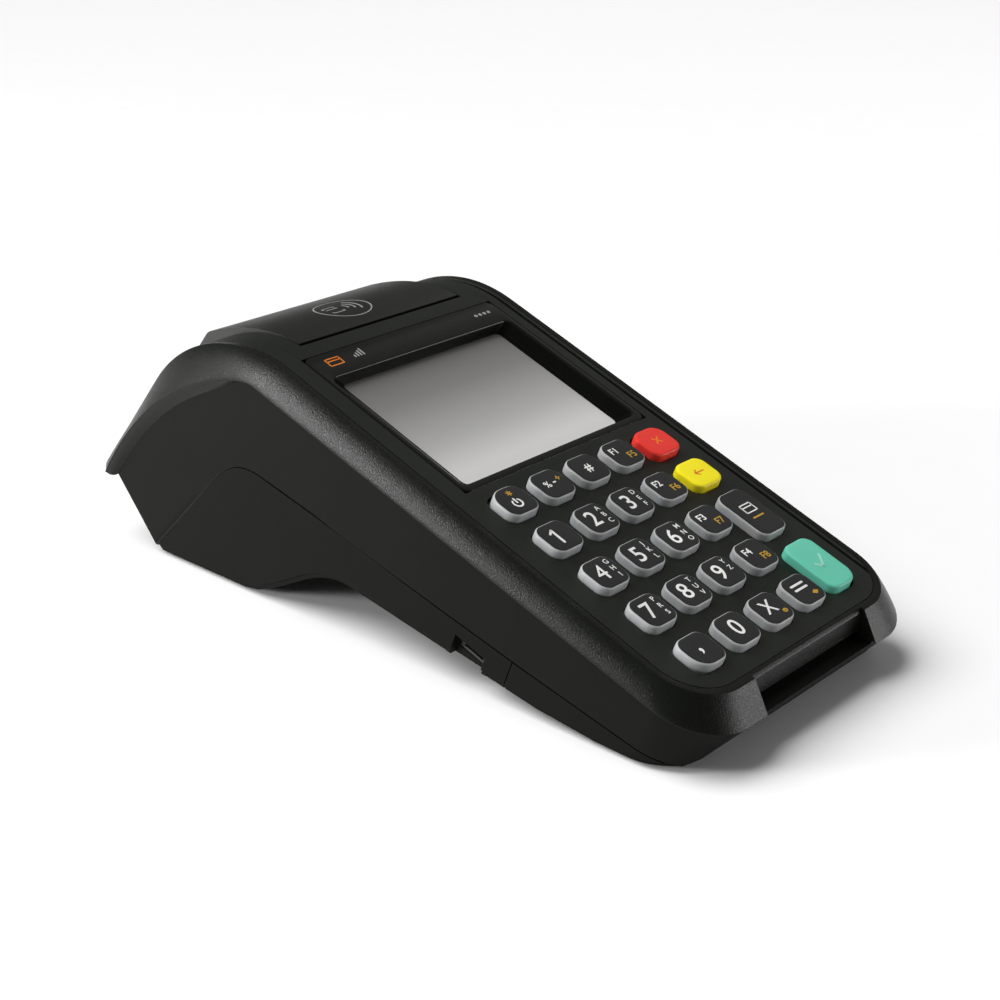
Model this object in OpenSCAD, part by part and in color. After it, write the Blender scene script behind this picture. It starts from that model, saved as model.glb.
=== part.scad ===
// Countertop card payment terminal: keypad, display, card readers and receipt printer.
//
// Everything is drawn in the deck frame and then tilted onto the table. In the deck
// frame X runs to the right, Y towards the printer and Z out of the keypad, with
// Z = 0 on the surface of the key panel. Side outlines are lists of [y, z] points.

/* [Stance] */
// Tilt of the keypad above the table
deck_tilt = 19.5; // [19:0.25:20]
// Height of the deck frame's origin above the table
deck_rise = 49.55; // [49.3:0.05:49.8]
// Distance of the deck frame's origin in front of the middle of the terminal
deck_setback = 37.93; // [37.8:0.01:38.1]

/* [Housing] */
// Width over the widest edge of the shoulder
body_w = 109.2; // [108:0.2:111]
// Width over the rim around the key panel
rim_w = 101; // [100:0.2:102]
// How far the side walls stand in from the widest edge
wall_step = 1.4; // [1:0.1:1.6]
// Front of the rim
rim_front = -83; // [-84:0.5:-82.5]
// Corner radius of the rim in plan
rim_corner = 17; // [16:0.5:18]
// Wall thickness of the housing
wall = 2.2; // [2:0.1:2.4]
// Thickness of the inlaid key panel
panel_t = 2; // [1.8:0.1:2]

/* [Keys] */
// Spacing of the key columns
key_pitch_x = 16.44; // [16.2:0.02:16.6]
// Spacing of the key rows
key_pitch_y = 17.2; // [17:0.05:17.3]
// Height of the key tops above the panel
key_rise = 2.6; // [2:0.1:3]
// Travel of a key
key_travel = 0.8; // [0.5:0.1:0.8]
// Gap between a key and its hole
key_gap = 0.3; // [0.25:0.05:0.35]

/* [Display] */
// Visible width of the display
screen_w = 70; // [69:0.5:71]
// Visible height of the display
screen_h = 52.5; // [51:0.5:53]
// Depth of the display glass below the panel
screen_drop = 3.4; // [3:0.1:3.6]

/* [Printer] */
// Width of the paper cover
cover_w = 71; // [70:0.5:71.4]
// Length of the paper roll
roll_w = 57.4; // [56:0.2:57.6]
// Diameter of the paper roll
roll_d = 40; // [30:1:40]
// Diameter of the rubber platen roller
platen_d = 10; // [9.6:0.1:10]
// Running clearance of the pins and shafts
shaft_gap = 0.05; // [0.03:0.01:0.08]

/* [Card slots] */
// Width of the card slot in the front
slot_w = 55.5; // [55:0.1:56]
// Width of the swipe groove
swipe_w = 1.3; // [1.2:0.1:1.5]

/* [Hidden] */
$fn = 48;

FAR = 200;
STEPS = 14;
body_half = body_w / 2;
rim_half = rim_w / 2;
side_half = body_half - wall_step;

// Hump over the printer: a round arc that runs on as a straight visor.
HUMP_C = [77.9, -51.8];
HUMP_R = 51.8;
VISOR_DIR = [0.316, -0.949];
VISOR_NORMAL = [0.949, 0.316];
HUMP_END = 18.4;
VISOR_TIP = [141, -77.4];

// Lower, widest edge of the shoulder.
EDGE_FRONT = [-90.35, -6.8];
EDGE_CURVE = [[84.5, -8.6], [93.2, -8.8], [124, -32.4], [134, -77.5]];

// Rear wall under the visor, and the underside.
REAR_WALL = [[132.3, -75.8], [109.2, -88.9]];
FRONT_FACE = [[-89.3, -6.6], [-88.6, -11], [-86.4, -17], [-82, -22.2], [-75.5, -25.2]];
BELLY_CURVE = [[32, -46.9], [45, -49.4], [49, -59], [61, -70.4]];
BELLY = [[64.4, -73.6], [70, -76.6], [107, -89.7]];

// Parting line between the upper and lower housing.
PART_FRONT = [[-120, -16.6], [-68, -22.4], [-32, -26.4], [0, -29.4], [50, -33.4]];
PART_CURVE = [[74, -35.7], [84, -36.8], [88, -41.2], [92, -49.7]];
PART_REAR = [[108.6, -88.2], [112, -96]];
SPLIT_Y = -28.4;
SEAM = 0.15;

// Printer layout.
ROLL_C = [98, -38];
PLATEN_C = [91.5, -11.5];
HINGE_C = [131.5, -60];
COVER_C = [83.5, -49.3];
COVER_R = 48.3;
COVER_T = 2.2;
COVER_FRONT = 88;
COVER_END = -64.6;
OPENING_END = -68.6;
PIN_R = 1.5;
FRAME_X = 34;
FRAME_T = 1.6;
GEAR_X = 31.2;
GEAR_T = 1.8;
GEAR_M = 0.6;
PLATEN_TEETH = 14;
DRIVE_TEETH = 24;
MESH_ANGLE = 40.2;
MESH_D = GEAR_M * (PLATEN_TEETH + DRIVE_TEETH) / 2 + 0.12;
DRIVE_C = PLATEN_C - MESH_D * [cos(MESH_ANGLE), sin(MESH_ANGLE)];

// Openings in the deck.
BAY_HALF = 42;
BAY_FRONT = 10.7;
BEZEL_BACK = 80;
SCREEN_Y = 42;
SLOT_X = 1.5;
SLOT_FLOOR = -8.3;
SLOT_GAP = 1.2;
SLOT_BACK = -84;
SWIPE_X = 46.2;
SWIPE_FRONT = -74.7;
SWIPE_FLOOR = -9;

// Key layout: columns counted from the left, rows from the back.
KEY_X = [for (i = [0:3]) -33.6 + i * key_pitch_x];
KEY_RIGHT_X = 31.6;
KEY_W = 12.5;
KEY_H = 11.8;
KEY_R = 3.6;
KEY_WIDE = 13.2;
FLANGE_TOP = -panel_t - 0.1;
FLANGE_T = 0.8;
// Top of the rubber mat, with room left under a pressed key.
MAT_TOP = FLANGE_TOP - FLANGE_T - key_travel - 0.3;

// Inlaid panel: half width, front and corner radius of its pocket, and the gap round it.
POCKET_HALF = 48.35;
POCKET_FRONT = -80.45;
POCKET_R = 14.6;
PANEL_GAP = 0.15;

// Shoulder profile: steepness of its arc at the rim and at the edge.
SHOULDER_START = 35;
SHOULDER_STOP = 65;

// Half width of the hole that the paper cover closes.
HATCH_HALF = 36.4;

// Half width of a card with its clearance.
CARD_HALF = 27.2;

// Housing screws and feet.
SCREW_X = 47.8;
SCREW_Y = [6, 66];
SCREW_SEAT = [-37.2, -42];
SCREW_TOP = -18;
SCREW_R = 1.25;
FOOT_T = 1.6;

// Side port: the recess in the wall and the socket behind it, as [y, z] corners.
PORT_X = -50;
PORT_LOW = [-19, -37.6];
PORT_HIGH = [-9, -33.4];

// Small clearance and cutting margin.
EPS = 0.02;
CUT = 1;

// ---------- helpers ----------

function mix(a, b, t) = a + (b - a) * t;
function bezier(c, n = STEPS) = [for (i = [0:n]) let (t = i / n, s = 1 - t)
    s * s * s * c[0] + 3 * s * s * t * c[1] + 3 * s * t * t * c[2] + t * t * t * c[3]];
function arc(c, r, a0, a1, n = STEPS) = [for (i = [0:n]) let (a = mix(a0, a1, i / n))
    c + r * [cos(a), sin(a)]];

// Places a piece drawn in the deck frame.
module on_table() {
    translate([0, -deck_setback, deck_rise]) rotate([deck_tilt, 0, 0]) children();
}

// Extrudes a side outline of [y, z] points across the body.
module across(w, x = 0) {
    translate([x, 0, 0]) rotate([90, 0, 90]) linear_extrude(w, center = true) children();
}

// Block from one corner to the opposite one.
module block(low, high) {
    translate(low) cube(high - low);
}

// Round rod along X through a side point [y, z].
module rod(p, r, x0, x1) {
    translate([x0, p[0], p[1]]) rotate([0, 90, 0]) cylinder(r = r, h = x1 - x0);
}

// Rectangle with four equal round corners, drawn from true arcs.
module rounded(w, h, r) {
    square([w - 2 * r, h], center = true);
    square([w, h - 2 * r], center = true);
    for (x = [-1, 1], y = [-1, 1])
        translate([x * (w / 2 - r), y * (h / 2 - r)]) circle(r);
}

// Plan outline with round front corners, open to the back.
module plan(half, front, r, back = FAR) {
    translate([-half, front + r]) square([2 * half, back - front - r]);
    translate([-half + r, front]) square([2 * (half - r), r + CUT]);
    for (s = [-1, 1]) translate([s * (half - r), front + r]) circle(r);
}

module plan_solid(half, front, r, back = FAR) {
    translate([0, 0, -FAR]) linear_extrude(2 * FAR) plan(half, front, r, back);
}

// ---------- side outlines ----------

function rim_curve() = concat([[rim_front, 0]], arc(HUMP_C, HUMP_R, 90, HUMP_END), [VISOR_TIP]);
function edge_curve() = concat([EDGE_FRONT], bezier(EDGE_CURVE), [EDGE_CURVE[3] + [0.1, -0.3]]);

// Region under the rim surface, sunk by d.
module under_rim(d) {
    polygon(concat([[-FAR, -d]], arc(HUMP_C, HUMP_R - d, 90, HUMP_END, 2 * STEPS),
        [VISOR_TIP - d * VISOR_NORMAL + FAR * VISOR_DIR], [[-FAR, -FAR]]));
}

module under_edge() {
    polygon(concat([[-FAR, -6.8]], edge_curve(), [[142, -FAR], [-FAR, -FAR]]));
}

module above_edge() {
    polygon(concat([[-FAR, -6.8]], edge_curve(), [VISOR_TIP + [-0.4, -0.5], VISOR_TIP + [2, 1],
        [160, 20], [-FAR, 20]]));
}

module under_parting(shift = 0) {
    translate([0, -shift]) polygon(concat(PART_FRONT, bezier(PART_CURVE), PART_REAR,
        [[112, -FAR], [-120, -FAR]]));
}

// Whole side silhouette of the body below the shoulder.
module body_side() {
    polygon(concat(FRONT_FACE, [[-68, -27.7], [-60, -30.3], [-40, -35.2], [-20, -38.5], [0, -41.8]],
        bezier(BELLY_CURVE), BELLY, [REAR_WALL[1], REAR_WALL[0]], [[134, -60], [120, 10], [-86, 10]]));
}

// ---------- housing ----------

// Convex shoulder between the rim and the widest edge.
module shoulder() {
    layers = 5;
    low = SHOULDER_START;
    high = SHOULDER_STOP;
    intersection() {
        hull() for (k = [0:layers]) {
            a = mix(low, high, k / layers);
            w = (cos(low) - cos(a)) / (cos(low) - cos(high));
            s = (sin(a) - sin(low)) / (sin(high) - sin(low));
            rim = rim_curve();
            edge = edge_curve();
            line = [for (i = [0:len(rim) - 1]) mix(rim[i], edge[i], w)];
            intersection() {
                across(2 * mix(rim_half, body_half, s))
                    polygon(concat(line, [[130, -110], [line[0][0], -110]]));
                plan_solid(body_half, line[0][0], mix(rim_corner, 19, s));
            }
        }
        across(body_w + CUT) above_edge();
    }
}

// Solid side walls under the shoulder, stepped at the lower edge.
module core(grow_x = 0, sink = 0) {
    intersection() {
        across(2 * (side_half + grow_x)) offset(delta = -sink) body_side();
        plan_solid(side_half + grow_x, -89.3 - grow_x, 18);
    }
}

module card_recess() {
    across(slot_w, SLOT_X) polygon([[-81.9, CUT], [-81.9, -0.5], [-82.8, -1.4],
        [SLOT_BACK, SLOT_FLOOR + SLOT_GAP], [SLOT_BACK, SLOT_FLOOR], [-96, SLOT_FLOOR], [-96, CUT]]);
    block([SLOT_X - CARD_HALF, SLOT_BACK - CUT, SLOT_FLOOR],
        [SLOT_X + CARD_HALF, -80, SLOT_FLOOR + SLOT_GAP]);
}

module swipe_groove() {
    intersection() {
        block([SWIPE_X - swipe_w / 2, SWIPE_FRONT, SWIPE_FLOOR - 1.4],
            [SWIPE_X + swipe_w / 2, 115, CUT]);
        across(FAR) difference() {
            under_rim(-CUT);
            polygon([[-FAR, SWIPE_FLOOR], [FAR, SWIPE_FLOOR], [FAR, -FAR], [-FAR, -FAR]]);
        }
    }
}

// Deck openings through the ledge that the panel, bezel and surround lie on.
module deck_windows() {
    block([-43.4, -77, -6], [41, 8.2, CUT]);
    block([-40.6, 12, -12], [40.6, 78.4, CUT]);
    intersection() {
        across(2 * HATCH_HALF) polygon([[86.4, 5], [160, 5], [160, OPENING_END], [118, OPENING_END],
            [86.4, -20]]);
        across(FAR) under_rim(-5);
    }
}

module screw_bosses(r, low, high) {
    for (s = [-1, 1], y = SCREW_Y) translate([s * SCREW_X, y, low]) cylinder(r = r, h = high - low);
}

module upper_housing() color("#24261f") on_table() {
    difference() {
        union() {
            difference() {
                union() {
                    shoulder();
                    intersection() {
                        core();
                        across(FAR) difference() {
                            under_rim(4);
                            under_parting();
                        }
                    }
                }
                intersection() {
                    plan_solid(48.6, -86.6, 13);
                    across(FAR) intersection() {
                        under_rim(panel_t + 1.4);
                        offset(delta = -wall) body_side();
                    }
                }
                intersection() {
                    plan_solid(side_half - wall, -86.4, 16);
                    across(FAR) intersection() {
                        under_rim(11);
                        offset(delta = -wall) body_side();
                        translate([0, -2]) under_edge();
                    }
                }
            }
            // Block behind the card recess.
            across(2 * CARD_HALF + 6, SLOT_X)
                polygon([[-88, -7.5], [-88, -13], [-81.4, -13], [-81.4, -2], [-83.9, -2]]);
            intersection() {
                screw_bosses(3.4, -60, SCREW_TOP);
                across(FAR) difference() {
                    under_rim(5);
                    under_parting();
                }
            }
        }
        // Pocket for the inlaid panel.
        intersection() {
            plan_solid(POCKET_HALF, POCKET_FRONT, POCKET_R);
            across(FAR) difference() {
                under_rim(-CUT);
                under_rim(panel_t);
                translate([-FAR, OPENING_END - 4 - FAR]) square([2 * FAR, FAR]);
            }
        }
        deck_windows();
        card_recess();
        swipe_groove();
        block([-28.1, 84.3, -6], [28.1, 90, -1]);
        screw_bosses(SCREW_R + EPS, -70, SCREW_TOP - 1.6);
        // Clearance for the cover's hinge knuckles and the frame arms.
        across(2 * HATCH_HALF) polygon([[122, -70], [122, -40], [134.5, -58], [136, OPENING_END],
            [134, -71]]);
    }
}

// Lower half, shared by the lower housing and the battery cover.
module lower_shell() {
    difference() {
        intersection() {
            union() {
                core(-1.2);
                core(0, 1.8);
            }
            across(FAR) under_parting(SEAM);
        }
        intersection() {
            plan_solid(side_half - wall - 0.4, -86, 15);
            across(FAR) offset(delta = -wall) body_side();
        }
    }
}

module lower_housing() color("#1e201b") on_table() difference() {
    union() {
        difference() {
            lower_shell();
            block([-FAR, -FAR, -FAR], [FAR, SPLIT_Y + SEAM, FAR]);
        }
        intersection() {
            screw_bosses(3.4, -80, -20);
            core();
            across(FAR) under_parting(SEAM);
        }
        // Walls round the side port.
        intersection() {
            block([-side_half + CUT, -21.6, -44], [-36, -6.6, -30.9]);
            core();
        }
    }
    // Side port recess, open to the side and below, and the seat of its socket.
    block([-60, -19.8, -60], [PORT_X, -8.3, -32.7]);
    block([PORT_X - CUT, PORT_LOW[0] - EPS, PORT_LOW[1] - EPS],
        [-30, PORT_HIGH[0] + EPS, PORT_HIGH[1] + EPS]);
    // Shallow grip slit along the lower left edge.
    translate([-side_half - 0.2, -3, -44.1]) rotate([-8.2, 0, 0]) cube([1.6, 26, 1.9]);
    screw_bosses(SCREW_R + 0.1, -90, -20);
    for (s = [-1, 1], i = [0, 1]) translate([s * SCREW_X, SCREW_Y[i], -100])
        cylinder(r = 2.7, h = 100 + SCREW_SEAT[i]);
    foot_pockets();
}

// Pockets for the rear feet, given in the table frame.
module foot_pockets() {
    rotate([-deck_tilt, 0, 0]) translate([0, deck_setback, -deck_rise]) {
        rear_pads();
        front_pads();
    }
}

module pad(w, h) {
    linear_extrude(FOOT_T) rounded(w, h, 2.4);
}
module rear_pads() {
    for (s = [-1, 1]) translate([s * 37, 80.9, 0]) pad(14, 8);
}
module front_pads() {
    for (s = [-1, 1]) translate([s * 33, -87.6, 0]) pad(14, 6);
}

module rear_feet() color("#151515") rear_pads();
module front_feet() color("#151515") front_pads();

module battery_cover() color("#1e201b") on_table() difference() {
    lower_shell();
    block([-FAR, SPLIT_Y - SEAM, -FAR], [FAR, FAR, FAR]);
    foot_pockets();
}

module housing_screws() color("silver") on_table() {
    for (s = [-1, 1], i = [0, 1]) translate([s * SCREW_X, SCREW_Y[i], SCREW_SEAT[i]]) {
        translate([0, 0, -1.6]) cylinder(r = 2.5, h = 1.6);
        cylinder(r = SCREW_R, h = SCREW_TOP - 4 - SCREW_SEAT[i]);
    }
}

// ---------- deck ----------

module top_panel() color("#20221d") on_table() difference() {
    intersection() {
        plan_solid(POCKET_HALF - PANEL_GAP, POCKET_FRONT + PANEL_GAP, POCKET_R - PANEL_GAP);
        across(FAR) difference() {
            under_rim(0);
            under_rim(panel_t);
            translate([-FAR, OPENING_END - 3.8 - FAR]) square([2 * FAR, FAR]);
        }
    }
    // Bay for the display bezel and the printer surround.
    across(2 * BAY_HALF) polygon([[BAY_FRONT, CUT], [160, CUT], [160, OPENING_END - 0.1],
        [120, OPENING_END - 0.1], [60, -20], [BAY_FRONT, -20]]);
    for (k = KEYS) translate([k[1], k[2], -10]) linear_extrude(20)
        rounded(k[3] + 2 * key_gap, k[4] + 2 * key_gap, k[5] + key_gap);
    swipe_groove();
}

module display_bezel() color("#171816") on_table() difference() {
    translate([0, (BAY_FRONT + BEZEL_BACK) / 2, -panel_t])
        linear_extrude(panel_t) rounded(2 * BAY_HALF - 0.3, BEZEL_BACK - BAY_FRONT - 0.2, 3);
    hull() {
        translate([0, 41.25, CUT]) linear_extrude(EPS) square([80.6, 56.1], center = true);
        translate([0, SCREEN_Y, -screen_drop])
            linear_extrude(EPS) square([screen_w, screen_h], center = true);
    }
}

module display_window() color("#8a8a88") on_table()
    translate([0, SCREEN_Y, -screen_drop - 1.2]) linear_extrude(1.2)
        rounded(screen_w + 4, screen_h + 4, 1);

module lcd_module() color("#c9c9c4") on_table()
    translate([0, SCREEN_Y, -screen_drop - 4.6]) linear_extrude(3.3)
        rounded(76.9, 63.9, 0.6);

module key_mat() color("#4c4e50") on_table() difference() {
    translate([-1, -34.4, MAT_TOP - 0.6]) linear_extrude(0.6) rounded(81.2, 83.6, 3);
    for (y = [-8.6, -60.2]) translate([-25.4, y, -10]) cylinder(r = 1, h = 20);
}

module keypad_board() color("#2f6b3c") on_table() difference() {
    translate([-1, -34.4, MAT_TOP - 1.7]) linear_extrude(1) rounded(81.2, 83.6, 2);
    for (y = [-8.6, -60.2]) translate([-25.4, y, -10]) cylinder(r = 1, h = 20);
}

// ---------- card readers ----------

module card_reader() color("#2b2b2b") on_table() difference() {
    block([SLOT_X - 31, -81.2, -12.4], [SLOT_X + 31, -24, -6]);
    block([SLOT_X - CARD_HALF, -90, SLOT_FLOOR], [SLOT_X + CARD_HALF, -27, SLOT_FLOOR + SLOT_GAP]);
    block([SLOT_X - 6.2, -64.2, -9.1], [SLOT_X + 6.2, -52.8, SLOT_FLOOR + EPS]);
}

module chip_contacts() color("#c9a24a") on_table()
    for (i = [0:3], j = [0, 1])
        translate([SLOT_X - 4.6 + 2.54 * i, -63 + 6.2 * j, -8.9]) cube([1.6, 3.8, 0.5]);

module swipe_track() color("#2b2b2b") on_table() difference() {
    block([SWIPE_X - 1.9, SWIPE_FRONT - 1, SWIPE_FLOOR - 1.2], [SWIPE_X + 1.9, 76, -panel_t - 1.5]);
    block([SWIPE_X - swipe_w / 2, SWIPE_FRONT, SWIPE_FLOOR], [SWIPE_X + swipe_w / 2, 90, CUT]);
    block([SWIPE_X - 3, -52.4, -8.6], [SWIPE_X, -39.6, -CUT]);
}

module mag_head() color("#b8b8b8") on_table() {
    block([SWIPE_X - 6.2, -52, -8.4], [SWIPE_X - 1, -40, -3.8]);
    translate([SWIPE_X - 1, -46, -8.4]) intersection() {
        cylinder(r = 3, h = 4.6);
        translate([0, -3, 0]) cube([0.3, 6, 4.6]);
    }
}

// ---------- boards and small parts ----------

module main_board() color("#2f6b3c") on_table() difference() {
    block([-44, -76, -14.4], [44, 61, -13]);
    for (s = [-1, 1], y = [-72, 56]) translate([s * 40, y, -20]) cylinder(r = 1.5, h = 10);
}

module contactless_antenna() color("#b87333") on_table() translate([0, SCREEN_Y, -9.6])
    linear_extrude(0.8) difference() {
        rounded(80, 64, 3);
        rounded(70, 54, 2);
    }

module speaker() color("#333333") on_table()
    translate([-24, 40, -19.2]) {
        cylinder(r = 10, h = 4.8);
        translate([0, 0, -1.2]) cylinder(r = 6.5, h = 1.2);
    }

module sim_socket() color("#b8b8b8") on_table()
    difference() {
        block([6, -20, -16.6], [34, -3, -14.4]);
        block([8, -19, -16.1], [35, -4, -15.1]);
    }

module coin_cell() color("#c0c0c0") on_table()
    translate([-20, 10, -17.6]) cylinder(r = 10, h = 3.2);

module battery_pack() color("#3d5a80") on_table()
    block([-40, -66, -25.4], [40, -31.4, -15.4]);

module battery_contacts() color("#c9a24a") on_table() {
    block([-12, -31, -24], [12, -28.6, -16]);
    for (i = [-1:1]) block([i * 6 - 1, -31.3, -22], [i * 6 + 1, -31, -18]);
}

module port_socket() color("#3a3a3a") on_table() difference() {
    block([PORT_X + 0.2, PORT_LOW[0], PORT_LOW[1]], [PORT_X + 12, PORT_HIGH[0], PORT_HIGH[1]]);
    block([PORT_X - CUT, -17.6, -36.6], [PORT_X + 9, -10.4, -34.4]);
}

// ---------- printer ----------

// Band between two offsets of the cover's outer line.
module cover_band(t0, t1, front, end) {
    a0 = acos((front - COVER_C[0]) / COVER_R);
    outer_end = COVER_C + COVER_R * VISOR_NORMAL;
    run = (outer_end[1] - end) / -VISOR_DIR[1];
    foot = outer_end + run * VISOR_DIR;
    polygon(concat(
        arc(COVER_C, COVER_R - t0, a0, HUMP_END, 2 * STEPS), [foot - t0 * VISOR_NORMAL],
        [foot - t1 * VISOR_NORMAL], arc(COVER_C, COVER_R - t1, HUMP_END, a0, 2 * STEPS)));
}

module paper_cover() color("#24261f") on_table() difference() {
    union() {
        across(cover_w) cover_band(0, COVER_T, COVER_FRONT, COVER_END);
        // Side skirts that stiffen the shell.
        for (s = [-1, 1]) across(1.4, s * (cover_w / 2 - 0.7)) difference() {
            cover_band(1, 5.4, COVER_FRONT + 1, COVER_END + 15);
            translate(PLATEN_C) circle(r = 3);
        }
        // Ears that carry the platen shaft.
        for (s = [-1, 1]) across(1.6, s * 30) union() {
            translate(PLATEN_C) circle(r = 3.2);
            polygon([PLATEN_C + [-2.6, 0], PLATEN_C + [-1.5, 9], PLATEN_C + [11, 7.2],
                PLATEN_C + [3, -0.5]]);
        }
        // Hinge knuckles and their webs.
        for (s = [-1, 1]) across(5.2, s * 30.6) union() {
            translate(HINGE_C) circle(r = 3.2);
            polygon([HINGE_C + [0, 3.1], HINGE_C + [3.6, 6], HINGE_C + [5.6, -0.5],
                HINGE_C + [2, -2.4]]);
        }
    }
    rod(PLATEN_C, PIN_R + shaft_gap, -40, 40);
    rod(HINGE_C, PIN_R + shaft_gap, -40, 40);
    // Room around the platen roller.
    rod(PLATEN_C, platen_d / 2 + 0.5, -28.9, 28.9);
}

module cover_hinge_pin() color("silver") on_table()
    rod(HINGE_C, PIN_R, -FRAME_X - FRAME_T - 0.2, FRAME_X + FRAME_T + 0.2);

module platen_roller() color("#2a2a2a") on_table() {
    rod(PLATEN_C, platen_d / 2, -28.4, 28.4);
    rod(PLATEN_C, PIN_R, -31.6, GEAR_X);
}

// Straight-sided spur gear with a tooth centred on angle 0.
module gear(teeth, phase, bore) {
    rp = GEAR_M * teeth / 2;
    step = 360 / teeth;
    difference() {
        polygon([for (i = [0:teeth - 1], p = [[-0.25, -1.15], [-0.11, 0.85], [0.11, 0.85], [0.25, -1.15]])
            (rp + p[1] * GEAR_M) * [cos(phase + (i + p[0]) * step), sin(phase + (i + p[0]) * step)]]);
        if (bore > 0) circle(r = bore);
    }
}

module platen_gear() color("#e8e4d8") on_table()
    across(GEAR_T, GEAR_X + GEAR_T / 2) translate(PLATEN_C)
        gear(PLATEN_TEETH, MESH_ANGLE + 180, 0);

module drive_gear() color("#e8e4d8") on_table()
    across(GEAR_T, GEAR_X + GEAR_T / 2) translate(DRIVE_C)
        gear(DRIVE_TEETH, MESH_ANGLE + 180 / DRIVE_TEETH, PIN_R + shaft_gap);

module paper_roll() color("white") on_table() across(roll_w) translate(ROLL_C) difference() {
    circle(r = roll_d / 2);
    circle(r = 6);
}

module printer_frame() color("#33352f") on_table() difference() {
    union() {
        // Trough under the roll.
        across(2 * FRAME_X) translate(ROLL_C) intersection() {
            difference() {
                circle(r = 23);
                circle(r = 21.5);
            }
            polygon([[-40, -6], [0, 8], [40, -14], [40, -40], [-40, -40]]);
        }
        // Front wall behind the display.
        across(2 * FRAME_X) polygon([[75, -44], [76.6, -44], [76.6, -28], [75, -28]]);
        for (s = [-1, 1]) across(FRAME_T, s * (FRAME_X + FRAME_T / 2)) union() {
            polygon([[73.4, -29], [80, -29], [84, -27], [92, -20], [110, -22], [119, -34],
                HINGE_C + [0, 3], HINGE_C + [0, -3], [104, -62.5], [88, -61], [73.4, -50]]);
            translate(HINGE_C) circle(r = 3);
        }
        // Arm and stud of the drive gear.
        across(FRAME_T, FRAME_X + FRAME_T / 2) union() {
            translate(DRIVE_C) circle(r = 4);
            polygon([DRIVE_C + [-4, 0], DRIVE_C + [4, 0], [88, -30], [76, -30]]);
        }
        rod(DRIVE_C, PIN_R, GEAR_X - 0.2, FRAME_X + 0.2);
    }
    rod(HINGE_C, PIN_R + EPS, -40, 40);
}

module thermal_head() color("#c8ccd0") on_table() {
    block([-27.5, 84.9, -19.4], [27.5, 86.4, -7.4]);
    block([-27.5, 81.4, -19.4], [27.5, 84.9, -17.6]);
}

module printer_motor() color("#777777") on_table() {
    rod([66, -26], 7.5, 18, 36);
    rod([66, -26], 2.5, 36, 38.4);
}

module printer_surround() color("#20221d") on_table() difference() {
    intersection() {
        across(2 * BAY_HALF - 0.3) difference() {
            under_rim(0);
            under_rim(panel_t);
            translate([-FAR, OPENING_END - FAR]) square([2 * FAR, FAR]);
        }
        block([-60, BEZEL_BACK + 0.1, -FAR], [60, FAR, FAR]);
    }
    intersection() {
        across(cover_w + 0.8) polygon([[COVER_FRONT - 1.6, 5], [160, 5], [160, -FAR],
            [100, -FAR], [COVER_FRONT - 1.6, -20]]);
        across(FAR) under_rim(-5);
    }
}

module tear_bar() color("#b8b8b8") on_table() {
    teeth = 40;
    pitch = 1.4;
    translate([0, 0, -3.7]) linear_extrude(0.7)
        polygon(concat([[teeth * pitch / 2, 84.4], [-teeth * pitch / 2, 84.4]],
            [for (i = [0:teeth - 1], p = [[0, 86.1], [0.5, 86.9]])
                [-teeth * pitch / 2 + (i + p[0]) * pitch, p[1]]],
            [[teeth * pitch / 2, 86.1]]));
}

// ---------- keys ----------

// Name, x, y, width, height, corner radius and colour.
function cell(name, col, row) = [name, KEY_X[col], -row * key_pitch_y, KEY_W, KEY_H, KEY_R, "#3a3b39"];
function right_key(name, y, h, tint) = [name, KEY_RIGHT_X, y, KEY_WIDE, h, KEY_R, tint];
KEYS = concat(
    [for (c = [0:3]) cell(["key_power", "key_percent", "key_plu", "key_f1"][c], c, 0)],
    [for (c = [0:3]) cell(["key_1", "key_2", "key_3", "key_f2"][c], c, 1)],
    [for (c = [0:3]) cell(["key_4", "key_5", "key_6", "key_f3"][c], c, 2)],
    [for (c = [0:3]) cell(["key_7", "key_8", "key_9", "key_f4"][c], c, 3)],
    [for (c = [0:3]) cell(["key_comma", "key_0", "key_x", "key_total"][c], c, 4)],
    [right_key("key_cancel", -0.9, 12.2, "#da3430"), right_key("key_clear", -17.8, 11.8, "#f5e128"),
        right_key("key_tall", -38.5, 20.1, "#3a3b39"), right_key("key_enter", -64.1, 20.5, "#69bea8")]);

// One key: a cap over a wider flange that the panel holds down.
module key_body(k) color(k[6]) on_table() translate([k[1], k[2], 0]) {
    translate([0, 0, FLANGE_TOP - FLANGE_T]) linear_extrude(FLANGE_T)
        rounded(k[3] + 1.6, k[4] + 1.6, k[5]);
    translate([0, 0, FLANGE_TOP]) linear_extrude(key_rise - 0.8 - FLANGE_TOP)
        rounded(k[3], k[4], k[5]);
    translate([0, 0, key_rise - 0.8]) linear_extrude(0.8)
        rounded(k[3] - 0.7, k[4] - 0.7, k[5] - 0.3);
}

// ---------- nodes ----------

for (k = KEYS) key_body(k);
upper_housing();
lower_housing();
battery_cover();
front_feet();
rear_feet();
top_panel();
display_bezel();
display_window();
lcd_module();
key_mat();
keypad_board();
card_reader();
chip_contacts();
swipe_track();
mag_head();
main_board();
printer_frame();
thermal_head();
printer_motor();
drive_gear();
platen_roller();
platen_gear();
paper_roll();
paper_cover();
cover_hinge_pin();
printer_surround();
tear_bar();
battery_pack();
battery_contacts();
port_socket();
contactless_antenna();
speaker();
sim_socket();
coin_cell();
housing_screws();
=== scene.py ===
"""Looks of the card payment terminal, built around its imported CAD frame.

Pieces are drawn in the deck frame in millimetres, as the CAD source draws them: X to the
right, Y towards the printer, Z out of the keypad. DECK places them on the table in metres.
"""

from math import cos, hypot, pi, radians, sin

import bmesh
import bpy
from mathutils import Matrix, Vector


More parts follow.
